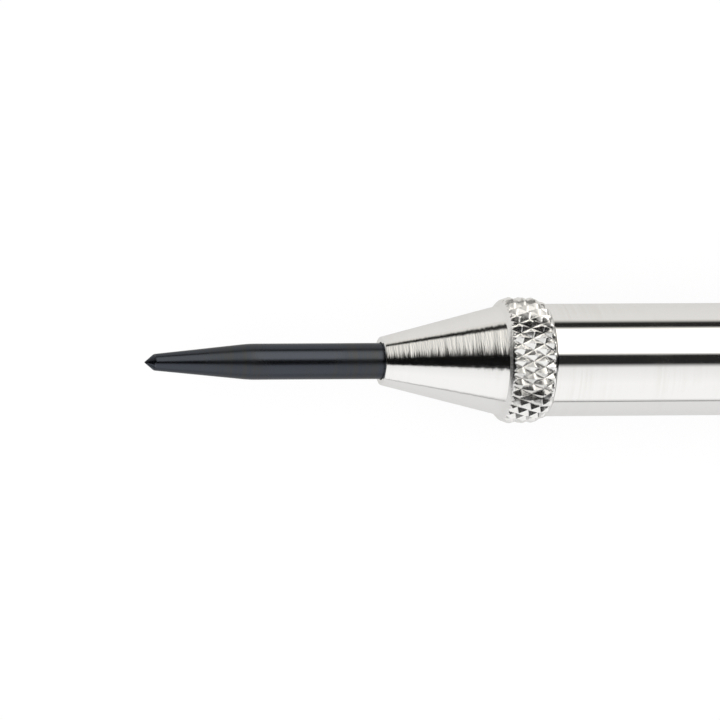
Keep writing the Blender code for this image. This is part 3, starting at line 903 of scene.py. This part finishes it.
def make_barrel():
    root = NECK_R - THREAD_DEPTH
    front = NOSE_BACK + JOINT_LINE
    wall_middle = (SOCKET_R + BARREL_R) / 2
    thread = (BARREL_BACK + RELIEF_LENGTH, RING_FRONT - 2 * CHAMFER)
    body = [
        (front, wall_middle),
        (front, BARREL_R, BARREL_EDGE),
        (BARREL_BACK, BARREL_R, BARREL_EDGE),
        (BARREL_BACK, root),
        (thread[0], root),
    ]
    neck = [
        (thread[1], root),
        (RING_FRONT - GROOVE_CLEARANCE, root),
        (RING_FRONT - GROOVE_CLEARANCE, GROOVE_R),
        (RING_REAR + GROOVE_CLEARANCE, GROOVE_R),
        (RING_REAR + GROOVE_CLEARANCE, NECK_R),
        (NECK_END - CHAMFER, NECK_R),
        (NECK_END, NECK_R - CHAMFER),
        (NECK_END, CHAMBER_R),
        (CHAMBER_FRONT, CHAMBER_R),
        (CHAMBER_FRONT, SLEEVE_BORE_R),
        (SOCKET_END, SLEEVE_BORE_R),
        (SOCKET_END, SOCKET_R),
        (front, SOCKET_R),
        (front, wall_middle),
    ]
    skin = TurnedSkin(POLISHED_NICKEL)
    skin.sweep(eased(body, FINE_EDGE), BARREL_COLUMNS)
    skin.take(thread_band(*thread, NECK_R, THREAD_PITCH, THREAD_DEPTH, BARREL_COLUMNS, POLISHED_NICKEL))
    skin.sweep(eased(neck, FINE_EDGE), BARREL_COLUMNS)
    return skin.piece("bright_barrel")


fit(make_barrel(), "barrel")

# %% [markdown]
# ## The cap
# The cap screws on the neck and sets how hard the tool strikes. It has a plain land in front, a knurl to
# grip, and a domed end for the palm. A shallow groove on each side of the knurl gives the wheel room to run
# out. The same knurl as on the nose is used, since one wheel would cut both.

# %% sizes of the adjusting cap
CAP_LAND = 0.0010
CAP_EDGE = 0.0003
CAP_KNURL_LENGTH = 0.0072
CAP_GROOVE = 0.0003
CAP_DOME_LENGTH = 0.0040
CAP_FLAT_R = 0.0040
FLAT_INSET = 0.98
DOME_STEPS = 24
CAP_BORE_R = 0.00515
CAP_FLOOR = NECK_END + SEAT_GAP
BOSS_FRONT = span("spring_seat")[1] + SEAT_GAP
BOSS_R = 0.0034
NUT_THREAD_START = 0.0005
print(f"cap: {1000 * (CAP_END - CAP_FRONT):.1f} mm long")

# %% the adjusting cap


def make_cap():
    knurl_front = CAP_FRONT + CAP_LAND
    knurl_rear = knurl_front + CAP_KNURL_LENGTH
    low_r = CAP_R - CAP_GROOVE
    dome_front = CAP_END - CAP_DOME_LENGTH
    nut_root = CAP_BORE_R + THREAD_DEPTH
    nut = (CAP_FRONT + NUT_THREAD_START, RING_FRONT - 2 * CHAMFER)
    middle = (nut_root + CAP_R) / 2
    land = [
        (CAP_FRONT, middle),
        (CAP_FRONT, CAP_R, CAP_EDGE),
        (knurl_front - CAP_GROOVE, CAP_R),
        (knurl_front, low_r),
    ]
    runs = (CAP_GROOVE, CAP_GROOVE, 2 * CAP_GROOVE, CAP_GROOVE)
    crown = eased([(knurl_rear, low_r), (knurl_rear + CAP_GROOVE, CAP_R), (dome_front, CAP_R)], FINE_EDGE)
    crown += dome(dome_front, CAP_DOME_LENGTH, CAP_R, CAP_FLAT_R, DOME_STEPS)
    crown += [(CAP_END, CAP_FLAT_R * FLAT_INSET, 0.0), (CAP_END, 0.0, 0.0)]
    mouth = [(CAP_FRONT, middle - CHAMFER), (CAP_FRONT, nut_root), (nut[0], nut_root)]
    inside = [
        (nut[1], nut_root),
        (RING_FRONT, CAP_BORE_R),
        (CAP_FLOOR, CAP_BORE_R),
        (CAP_FLOOR, BOSS_R),
        (BOSS_FRONT, BOSS_R, CHAMFER),
        (BOSS_FRONT, 0.0),
    ]
    skin = TurnedSkin(POLISHED_NICKEL)
    front_rim, _ = skin.sweep(eased(land, FINE_EDGE), FINE_COLUMNS)
    skin.take(knurl_band(knurl_front, knurl_rear, CAP_R, *runs))
    skin.sweep(crown, FINE_COLUMNS)
    mouth_rim, _ = skin.sweep(eased(mouth, FINE_EDGE), PLAIN_COLUMNS)
    skin.take(thread_band(*nut, CAP_BORE_R, THREAD_PITCH, -THREAD_DEPTH, PLAIN_COLUMNS, KNURLED_NICKEL))
    skin.sweep(eased(inside, FINE_EDGE), PLAIN_COLUMNS)
    skin.join(front_rim, mouth_rim)
    return skin.piece("knurled_cap")


fit(make_cap(), "adjusting_cap")

# %% [markdown]
# ## The spindle and the trip sleeve
# The spindle carries the point and ends in a thin tail. The sleeve sits in the barrel, and its tapered bore
# pushes the latch to the middle as the hammer comes back, until the tail finds the latch's hole. Both could
# be cut from cylinders, but as turned outlines one helper sweeps them and the small pieces after them.

# %% the spindle
INNER_COLUMNS = 96
STUD_CLEARANCE = 0.00015
COLLAR_LENGTH = 0.0030
ROD_R = 0.0023
ROD_END = 0.04925
TAIL_R = 0.0009


def solid_turning(name, node, outline, material):
    """A turned piece whose outline starts and ends on the axis, or on itself for a ring."""
    skin = TurnedSkin(material)
    skin.sweep(outline, INNER_COLUMNS)
    return fit(skin.piece(name), node)


def make_spindle():
    front, rear, collar_r = span("spindle")
    bore_end, bore_r = STUD_END + SEAT_GAP, STUD_R + STUD_CLEARANCE
    outline = [
        (bore_end, 0.0),
        (bore_end, bore_r),
        (front, bore_r),
        (front, collar_r, CHAMFER),
        (front + COLLAR_LENGTH, collar_r, CHAMFER),
        (front + COLLAR_LENGTH, ROD_R),
        (ROD_END, ROD_R, CHAMFER),
        (ROD_END, TAIL_R),
        (rear, TAIL_R, CHAMFER),
        (rear, 0.0),
    ]
    solid_turning("ground_spindle", "spindle", eased(outline, FINE_EDGE), GROUND_STEEL)


make_spindle()

# %% the trip sleeve
ROD_CLEARANCE = 0.00025
FLANGE = 0.0015
TRIP_FRONT_R = 0.00435
TRIP_START = span("latch_block")[1]
TRIP_LENGTH = 0.0095


def make_sleeve():
    front, rear, outer_r = span("trip_sleeve")
    bore_r = ROD_R + ROD_CLEARANCE
    middle = (bore_r + outer_r) / 2
    outline = [
        (front, middle),
        (front, outer_r, CHAMFER),
        (rear, outer_r, CHAMFER),
        (rear, CHAMBER_R),
        (TRIP_START + TRIP_LENGTH, CHAMBER_R),
        (TRIP_START, TRIP_FRONT_R),
        (front + FLANGE, TRIP_FRONT_R),
        (front + FLANGE, bore_r),
        (front, bore_r),
        (front, middle),
    ]
    solid_turning("hard_sleeve", "trip_sleeve", eased(outline, FINE_EDGE), HARDENED_STEEL)


make_sleeve()

# %% [markdown]
# ## Washer, seat and ring
# A washer in front and a seat behind keep the ends of the main spring square. The seat is domed where the cap
# presses on it, so that it doesn't turn with the cap. A rubber ring under the cap keeps its setting. The
# dome and the ring's round section are curves all over, so they are laid down in many small steps.

# %% the washer, the seat and the ring
WASHER_BORE_R = 0.0022
SEAT_PILOT_R = 0.00195
SEAT_PILOT_LENGTH = 0.0025
SEAT_FLANGE = 0.0020
SEAT_DOME_STEPS = 10
RING_STEPS = 20


def make_washer():
    front, rear, outer_r = span("spring_washer")
    middle = (WASHER_BORE_R + outer_r) / 2
    corners = [(front, outer_r), (rear, outer_r), (rear, WASHER_BORE_R), (front, WASHER_BORE_R)]
    outline = eased([(front, middle), *corners, (front, middle)], FINE_EDGE)
    solid_turning("flat_washer", "spring_washer", outline, GROUND_STEEL)


def make_seat():
    front, rear, outer_r = span("spring_seat")
    shoulder = front + SEAT_PILOT_LENGTH
    back = shoulder + SEAT_FLANGE
    pilot = [(front, 0.0), (front, SEAT_PILOT_R, CHAMFER), (shoulder, SEAT_PILOT_R)]
    outline = eased([*pilot, (shoulder, outer_r), (back, outer_r)], FINE_EDGE)
    outline += dome(back, rear - back, outer_r, 0.0, SEAT_DOME_STEPS)[1:]
    solid_turning("domed_seat", "spring_seat", outline, GROUND_STEEL)


def make_ring():
    section_r = (RING_REAR - RING_FRONT) / 2
    outline = []
    for step in range(RING_STEPS + 1):
        angle = 2 * math.pi * step / RING_STEPS
        station = RING_FRONT + section_r * (1 - math.cos(angle))
        outline.append((station, RING_R - section_r * (1 - math.sin(angle)), 0.0))
    solid_turning("rubber_ring", "cap_ring", outline, BLACK_RUBBER)


make_washer()
make_seat()
make_ring()

# %% [markdown]
# ## The springs
# A compression spring is wound from one wire. Its end turns lie close, and are ground flat so that it stands
# square. A helix primitive has one pitch from end to end, so instead a line with many points is bent to the
# path by a rule. A round wire is drawn along it, and what would stick out past either end is pressed flat, as
# grinding does.

# %% the coil as a node tree
GROUND_SHARE = 0.2


def coil_height(tree, given, turn):
    """Height of the wire's middle after so many turns: close at both ends, and open between them."""
    closed_turns, wire = given["Closed Turns"], given["Wire"]
    to_end = minus(tree, given["Turns"], turn)
    start_closed = lesser(tree, turn, closed_turns)
    end_closed = minus(tree, closed_turns, lesser(tree, to_end, closed_turns))
    closed = plus(tree, start_closed, end_closed)
    opened = minus(tree, turn, closed)
    wound_low = times(tree, wire, GROUND_SHARE)
    both_closed = times(tree, closed_turns, 2.0)
    solid = times_plus(tree, both_closed, wire, times(tree, wound_low, 2.0))
    free = minus(tree, given["Length"], solid)
    pitch = over(tree, free, minus(tree, given["Turns"], both_closed))
    return times_plus(tree, opened, pitch, times_plus(tree, closed, wire, wound_low))


def coil_tree():
    labels = ("Length", "Turns", "Radius", "Wire", "Closed Turns", "Points per Turn", "Sides")
    tree, given, result = open_tree("coil", *labels)
    points = times_plus(tree, given["Turns"], given["Points per Turn"], 1.0)
    line = add_node(tree, "GeometryNodeCurvePrimitiveLine", (0.0, 0.0, 0.0), (0.0, 0.0, 1.0)).outputs[0]
    path = add_node(tree, "GeometryNodeResampleCurve", line, None, points).outputs[0]
    share = tree.nodes.new("GeometryNodeSplineParameter").outputs["Factor"]
    turn = times(tree, share, given["Turns"])
    across, aside = (times(tree, given["Radius"], part) for part in cosine_sine(tree, turn))
    place = vector_of(tree, across, aside, coil_height(tree, given, turn))
    bent = add_node(tree, "GeometryNodeSetPosition", path, None, place).outputs[0]
    section = add_node(tree, "GeometryNodeCurvePrimitiveCircle", given["Sides"])
    feed(tree, section.inputs["Radius"], times(tree, given["Wire"], 0.5))
    wire = tree.nodes.new("GeometryNodeCurveToMesh")
    feed(tree, wire.inputs["Curve"], bent)
    feed(tree, wire.inputs["Profile Curve"], section.outputs[0])
    wire.inputs["Fill Caps"].default_value = True
    x, y, z = xyz(tree, tree.nodes.new("GeometryNodeInputPosition").outputs[0])
    ground = greater(tree, lesser(tree, z, given["Length"]), 0.0)
    pressed = add_node(tree, "GeometryNodeSetPosition", wire.outputs[0], None, vector_of(tree, x, y, ground))
    close_tree(tree, pressed.outputs[0], given, result)
    return tree


COIL = coil_tree()
print("coil tree:", len(COIL.nodes), "nodes")

# %% [markdown]
# The main spring drives the hammer, the return spring pushes the point out, and a tiny one keeps the latch off
# centre. Each gets a mesh of its own.

# %% three springs, each with a mesh of its own
POINTS_PER_TURN = 40
WIRE_SIDES = 12


def make_coil(name, node, axis, turns, closed_turns, wire):
    low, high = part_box(node)
    along = "XYZ".index(axis)
    across = max(high[k] - low[k] for k in range(3) if k != along)
    mesh = run_tree(
        COIL,
        SPRING_WIRE,
        length=high[along] - low[along],
        turns=turns,
        radius=(across - wire) / 2,
        wire=wire,
        closed_turns=closed_turns,
        points_per_turn=POINTS_PER_TURN,
        sides=WIRE_SIDES,
    )
    lay = Matrix.Rotation(math.pi / 2, 4, "Y") if axis == "X" else Matrix.Identity(4)
    centre = (low + high) / 2
    base = Vector((low.x, 0.0, AXIS_Z)) if axis == "X" else Vector((centre.x, centre.y, low.z))
    mesh.transform(Matrix.Translation(base) @ lay)
    return fit(finished(name, mesh), node)


def squash_from(piece):
    """Give a spring a mesh of its own."""
    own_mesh(piece)


main_coil = make_coil("main_coil", "main_spring", "X", turns=11.0, closed_turns=1.0, wire=0.0011)
squash_from(main_coil)
return_coil = make_coil("return_coil", "return_spring", "X", turns=10.0, closed_turns=1.0, wire=0.0005)
squash_from(return_coil)
latch_coil = make_coil("latch_coil", "latch_spring", "Z", turns=3.5, closed_turns=0.75, wire=0.0002)
squash_from(latch_coil)

# %% [markdown]
# ## The hammer and the latch
# Both are plain hardened blocks with a drilled hole or a slot, hidden in the barrel. They could be modelled
# again with softer edges, but their solids in the frame already have every edge that counts, so they stay as
# they are and only get the finish.

# %% finish for the solids that stay
for node in ("hammer", "latch_block"):
    for slot in frame["nodes"][node].material_slots:
        slot.material = HARDENED_STEEL
print("kept solids: hammer, latch_block")

# %% [markdown]
# ## The light tent
# The tool lies on a white table under a light tent. A bright round tool shows little of itself: it shows the
# tent. Sheets and lamps could be hung round it, but every edge on the metal would then be a sheet to move.
# Here the tent is drawn in the world by two angles, in degrees. One leads round the tool's axis, from
# straight up to the far side or the near side. The other is the tilt, below 0 towards the tip and above 0
# towards the cap. The cone mirrors tilts near -14, and the barrel tilts near 15, so a pair of values below
# is the cone's and the barrel's. Overhead is a dark slot, where the camera looks in, with soft edges. It is
# wider over the cap's end, which is what darkens the knurl's rear flanks.

# %% the dark slot overhead
CONE_TO_BARREL = (-13.0, 15.0)
SLOT_NEAR_START = (13.8, 6.5)
SLOT_NEAR_END = (23.5, 17.5)
SLOT_FAR_START, SLOT_FAR_START_TILTS = (24.0, 7.5), (-19.0, -14.5)
SLOT_FAR_END, SLOT_FAR_END_TILTS = (72.0, 17.0), (-25.0, -3.0)
REAR_TILTS = (28.0, 42.0)
REAR_WIDENING_FAR = 5.0
REAR_WIDENING_NEAR = 66.0


def by_tilt(tree, tilt, values, tilts=CONE_TO_BARREL):
    """A value that goes straight from one to another between two tilts."""
    return ease(tree, tilt, *tilts, *values, "LINEAR")


def past_the_slot(tree, far, near, tilt, rear):
    """Masks for the far and the near wall, both 0 inside the slot."""
    from_far = times_plus(tree, rear, -REAR_WIDENING_FAR, far)
    from_near = times_plus(tree, rear, -REAR_WIDENING_NEAR, near)
    far_start = by_tilt(tree, tilt, SLOT_FAR_START, SLOT_FAR_START_TILTS)
    far_end = by_tilt(tree, tilt, SLOT_FAR_END, SLOT_FAR_END_TILTS)
    near_start = by_tilt(tree, tilt, SLOT_NEAR_START)
    near_end = by_tilt(tree, tilt, SLOT_NEAR_END)
    return ease(tree, from_far, far_start, far_end), ease(tree, from_near, near_start, near_end)


print("slot over the barrel:", SLOT_FAR_END[1] + SLOT_NEAR_END[1], "degrees wide")

# %% [markdown]
# The walls beside the slot are white, but not evenly lit. The far one is brighter over the barrel than over
# the nose, and ends low down in a dark seam, where it meets the table: that is the fine line along the far
# edge of the cone and the barrel. Below the seam the wall is dim. The near wall brightens on its way down.

# %% the lit walls and the seam
FAR_WALL_ANGLES, FAR_WALL_LIGHT = (35.0, 62.0), (1.4, 1.3)
FAR_WALL_TILTS, FAR_WALL_SHARE = (-18.0, 15.0), (0.39, 1.3)
REAR_DIMMING = 0.62
NEAR_WALL_ANGLES, NEAR_WALL_LIGHT = (15.0, 50.0), (0.90, 1.03)
SEAM_ANGLE = 76.4
SEAM_CHANGE = (-1.0, 1.0)
SEAM_CORE = (2.5, 3.5)
SEAM_RIM = (8.5, 14.0)
LOW_WALL_LIGHT = 0.78


def lit_walls(tree, far, near, tilt):
    rear = ease(tree, tilt, *REAR_TILTS)
    far_wall, near_wall = past_the_slot(tree, far, near, tilt, rear)
    far_light = ease(tree, far, *FAR_WALL_ANGLES, *FAR_WALL_LIGHT, "LINEAR")
    near_light = ease(tree, near, *NEAR_WALL_ANGLES, *NEAR_WALL_LIGHT, "LINEAR")
    dimmed = ease(tree, rear, 0.0, 1.0, 1.0, REAR_DIMMING)
    far_share = times(tree, by_tilt(tree, tilt, FAR_WALL_SHARE, FAR_WALL_TILTS), dimmed)
    past_seam = minus(tree, far, SEAM_ANGLE)
    high_wall = times(tree, far_light, far_share)
    below = ease(tree, past_seam, *SEAM_CHANGE)
    lit_far = blend(tree, below, high_wall, LOW_WALL_LIGHT)
    walls = times_plus(tree, far_wall, lit_far, times(tree, near_wall, near_light))
    core, rim = by_tilt(tree, tilt, SEAM_CORE), by_tilt(tree, tilt, SEAM_RIM)
    return times(tree, walls, ease(tree, calc(tree, "ABSOLUTE", past_seam), core, rim))


print("seam", SEAM_ANGLE, "degrees down on the far wall")

# %% [markdown]
# The tent's front is open like a door, and the room behind it is dark: the tip and the flare before the knurl
# mirror it. Nothing is quite black, and the far side is a little warmer. Only mirrored rays see this tent.
# Camera rays see plain white, and the soft light that falls on the table and the tool is even.

# %% the light tent
FRONT_DOOR = (-0.72, -0.82)
DOOR_NEAR = (-0.52, -0.40)
DOOR_FAR = (0.34, 0.22)
DARKEST = (0.005, 0.022)
WHITE = (1.0, 1.0, 1.0)
FAR_COLOUR = (1.0, 0.980, 0.935)
WARM_ANGLES = (0.0, 25.0)
ROOM_LIGHT = 1.35


def light_tent():
    world = bpy.data.worlds.new("light_tent")
    bpy.context.scene.world = world
    world.use_nodes = True
    world.cycles.sampling_method = "NONE"
    tree = world.node_tree
    x, y, z = xyz(tree, tree.nodes.new("ShaderNodeTexCoord").outputs["Generated"])
    far = calc(tree, "DEGREES", calc(tree, "ARCTAN2", y, z))
    near = times(tree, far, -1.0)
    tilt = calc(tree, "DEGREES", calc(tree, "ARCSINE", x))
    door = times(tree, ease(tree, y, *DOOR_NEAR), ease(tree, y, *DOOR_FAR))
    closed = minus(tree, 1.0, times(tree, door, ease(tree, x, *FRONT_DOOR)))
    tent = times(tree, lit_walls(tree, far, near, tilt), closed)
    tent = greater(tree, tent, by_tilt(tree, tilt, DARKEST))
    path = tree.nodes.new("ShaderNodeLightPath").outputs
    met = blend(tree, path["Is Glossy Ray"], ROOM_LIGHT, tent)
    seen = blend(tree, path["Is Camera Ray"], met, 1.0)
    warm = times(tree, ease(tree, far, *WARM_ANGLES), path["Is Glossy Ray"])
    background = tree.nodes["Background"]
    feed(tree, background.inputs["Color"], tint(tree, warm, WHITE, FAR_COLOUR))
    feed(tree, background.inputs["Strength"], seen)
    return world


print("world:", light_tent().name)

# %% [markdown]
# ## The table
# The table is a white sheet. More light could turn it pure white, but would burn out the metal as well.
# So its material shows mostly plain white to the camera and keeps a little of the tool's shadow, and the
# metal mirrors it a little dimmer and, on the far side, a little warmer.

# %% the white table
TABLE_HALF = 3.0
TABLE_DROP = 0.00002
TABLE_WHITE = 0.9
WHITE_TO_CAMERA = 0.9
WHITE_TO_GLOSS = 0.7
GLOSS_LOSS = -0.35
FAR_TABLE_COLOUR = (1.0, 0.975, 0.935)
TABLE_SIDES = (-0.02, 0.02)


def flat_sheet(name, corners, height):
    """A level sheet between two corners, with an empty material to build in."""
    (x0, y0), (x1, y1) = corners
    outline = [(x0, y0, height), (x1, y0, height), (x1, y1, height), (x0, y1, height)]
    mesh = bpy.data.meshes.new(name)
    mesh.from_pydata(outline, [], [(0, 1, 2, 3)])
    sheet = bpy.data.objects.new(name, mesh)
    bpy.context.scene.collection.objects.link(sheet)
    material = bpy.data.materials.new(name)
    material.use_nodes = True
    tree = material.node_tree
    tree.nodes.remove(tree.nodes["Principled BSDF"])
    mesh.materials.append(material)
    return sheet, tree, tree.nodes["Material Output"].inputs["Surface"]


def make_table():
    whole = ((-TABLE_HALF, -TABLE_HALF), (TABLE_HALF, TABLE_HALF))
    sheet, tree, surface = flat_sheet("white_table", whole, -TABLE_DROP)
    paper = add_node(tree, "ShaderNodeBsdfDiffuse", (TABLE_WHITE, TABLE_WHITE, TABLE_WHITE, 1.0)).outputs[0]
    path = tree.nodes.new("ShaderNodeLightPath").outputs
    strength = times_plus(tree, path["Is Glossy Ray"], GLOSS_LOSS, 1.0)
    aside = xyz(tree, tree.nodes.new("ShaderNodeTexCoord").outputs["Object"])[1]
    warm = times(tree, ease(tree, aside, *TABLE_SIDES), path["Is Glossy Ray"])
    white = add_node(tree, "ShaderNodeEmission", tint(tree, warm, WHITE, FAR_TABLE_COLOUR), strength)
    mirrored = greater(tree, path["Is Glossy Ray"], path["Is Transmission Ray"])
    share = times(tree, mirrored, WHITE_TO_GLOSS)
    share = times_plus(tree, path["Is Camera Ray"], WHITE_TO_CAMERA, share)
    feed(tree, surface, add_node(tree, "ShaderNodeMixShader", share, paper, white.outputs[0]).outputs[0])
    return sheet


print("table:", make_table().name)

# %% [markdown]
# ## Cards that only the metal shows
# The white paper under the tool ends on the near side and in front of the tip, and past it the metal mirrors
# something darker: a fine line low on the near side, and a dark tip. Two black flags hang over the point,
# so that its dark streak is as black as the cone's. World angles can't do this, because it is a matter of
# place, so each is a real sheet that only mirrored rays meet.

# %% paper edges and flags
FLAG_HEIGHT = 0.107
FLAG_GREY = DARKEST[0]
NEAR_PAPER_GREY = 0.35
FRONT_PAPER_GREY = 0.05
CARDS = {
    "near_paper_edge": (((-0.6, -0.16), (0.6, -0.09)), TABLE_DROP, NEAR_PAPER_GREY),
    "front_paper_edge": (((-0.6, -0.1), (-0.085, 0.06)), TABLE_DROP, FRONT_PAPER_GREY),
    "flag_over_shank": (((-0.038, -0.042), (-0.005, 0.02)), FLAG_HEIGHT, FLAG_GREY),
    "flag_over_taper": (((-0.060, -0.033), (-0.038, 0.015)), FLAG_HEIGHT, FLAG_GREY),
}

for name, (corners, height, grey) in CARDS.items():
    card, tree, surface = flat_sheet(name, corners, height)
    feed(tree, surface, add_node(tree, "ShaderNodeEmission", (*WHITE, 1.0), grey).outputs[0])
    card.visible_camera = False
    card.visible_diffuse = False
    card.visible_shadow = False
print("cards:", ", ".join(CARDS))

# %% [markdown]
# ## The camera
# The picture looks down on the lying tool, turned a little towards its tip, so that each round edge shows as
# a narrow ellipse. Those edges hardly change in width along the tool, so the camera stood far off: a long
# lens. Its place could be typed in, but it is worked out here from a slant, a roll and the picture's width.

# %% the camera
LENS = 800.0
SENSOR = 36.0
SLANT = math.radians(14.5)
ROLL = math.radians(0.33)
PICTURE_WIDTH = 0.0798
AIM_STATION = 0.02458
AIM_ASIDE = 0.00012


def set_camera():
    data = bpy.data.cameras.new("camera")
    data.lens, data.sensor_width = LENS, SENSOR
    camera = bpy.data.objects.new("camera", data)
    bpy.context.scene.collection.objects.link(camera)
    back = Vector((-math.sin(SLANT), 0.0, math.cos(SLANT)))
    level_right, level_up = Vector((math.cos(SLANT), 0.0, math.sin(SLANT))), Vector((0.0, 1.0, 0.0))
    right = level_right * math.cos(ROLL) - level_up * math.sin(ROLL)
    up = level_up * math.cos(ROLL) + level_right * math.sin(ROLL)
    aim = Vector((TIP_X + AIM_STATION, AIM_ASIDE, AXIS_Z))
    place = aim + back * (PICTURE_WIDTH * LENS / SENSOR)
    camera.matrix_world = Matrix((right, up, back)).transposed().to_4x4()
    camera.location = place
    bpy.context.scene.camera = camera
    bpy.context.scene.view_settings.view_transform = "Standard"
    print(f"camera {1000 * (place - aim).length:.0f} mm away")


set_camera()
